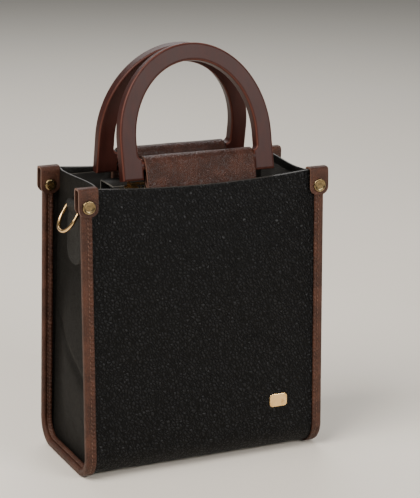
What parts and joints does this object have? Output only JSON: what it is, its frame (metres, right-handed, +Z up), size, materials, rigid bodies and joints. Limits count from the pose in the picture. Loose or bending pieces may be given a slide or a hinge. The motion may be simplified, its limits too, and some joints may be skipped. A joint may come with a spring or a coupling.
{
  "type": "satchel bag",
  "caption": "Upright satchel bag in black leather with brown bound edges, corner tabs, wooden arch handles in leather loops, side rings and a recessed zip.",
  "frame": {"origin": "centre of the bag's footprint, on the floor under the two bound side edges", "axes": "+Z up, +X along the width, -Y towards the front, which carries the small plate"},
  "size_m": [0.23, 0.114, 0.3617],
  "materials": {
    "black_leather": "pebbled, satin",
    "brown_leather": "smooth, stitched, satin",
    "stiffener_board": "plain",
    "lacquered_wood": "lacquered, semi gloss",
    "gold_metal": "antique, polished",
    "lining_cloth": "plain weave",
    "zip_tape": "woven"
  },
  "bodies": {
    "bag": {"base_board": "stiffener_board", "body_wrap": "black_leather", "front_board": "stiffener_board", "front_handle_loop": "brown_leather", "front_left_tab": "brown_leather", "front_plate": "gold_metal", "front_right_tab": "brown_leather", "front_zip_facing": "black_leather", "front_zip_tape": "zip_tape", "left_binding": "brown_leather", "left_gusset": "black_leather", "left_ring_strap": "black_leather", "lining": "lining_cloth", "rear_board": "stiffener_board", "rear_handle_loop": "brown_leather", "rear_left_tab": "brown_leather", "rear_right_tab": "brown_leather", "rear_zip_facing": "black_leather", "rear_zip_tape": "zip_tape", "right_binding": "brown_leather", "right_gusset": "black_leather", "right_ring_strap": "black_leather", "rivet_backs": "gold_metal", "rivet_caps": "gold_metal", "rivet_posts": "gold_metal", "zip_stops": "gold_metal", "zip_teeth": "gold_metal"},
    "front_handle": {"front_handle": "lacquered_wood"},
    "rear_handle": {"rear_handle": "lacquered_wood"},
    "left_ring": {"left_d_ring": "gold_metal"},
    "right_ring": {"right_d_ring": "gold_metal"},
    "zip_slider": {"zip_slider": "gold_metal"},
    "zip_pull": {"zip_pull": "gold_metal"}
  },
  "joints": [
    {"name": "front_handle_swing", "type": "hinge", "parent": "bag", "child": "front_handle", "pos_m": [0, -0.028, 0.264], "axis": [1, 0, 0], "range_deg": [-1.5, 105]},
    {"name": "rear_handle_swing", "type": "hinge", "parent": "bag", "child": "rear_handle", "pos_m": [0, 0.028, 0.26], "axis": [-1, 0, 0], "range_deg": [-1.5, 105]},
    {"name": "left_ring_swing", "type": "hinge", "parent": "bag", "child": "left_ring", "pos_m": [-0.09957, 0, 0.22811], "axis": [0, 1, 0], "range_deg": [-14, 125]},
    {"name": "right_ring_swing", "type": "hinge", "parent": "bag", "child": "right_ring", "pos_m": [0.09957, 0, 0.22811], "axis": [0, -1, 0], "range_deg": [-14, 125]},
    {"name": "zip_slide", "type": "slide", "parent": "bag", "child": "zip_slider", "axis": [1, 0, 0], "range_m": [0, 0.098]},
    {"name": "zip_pull_swing", "type": "hinge", "parent": "zip_slider", "child": "zip_pull", "pos_m": [-0.049, 0, 0.2418], "axis": [0, -1, 0], "range_deg": [0, 170]}
  ]
}
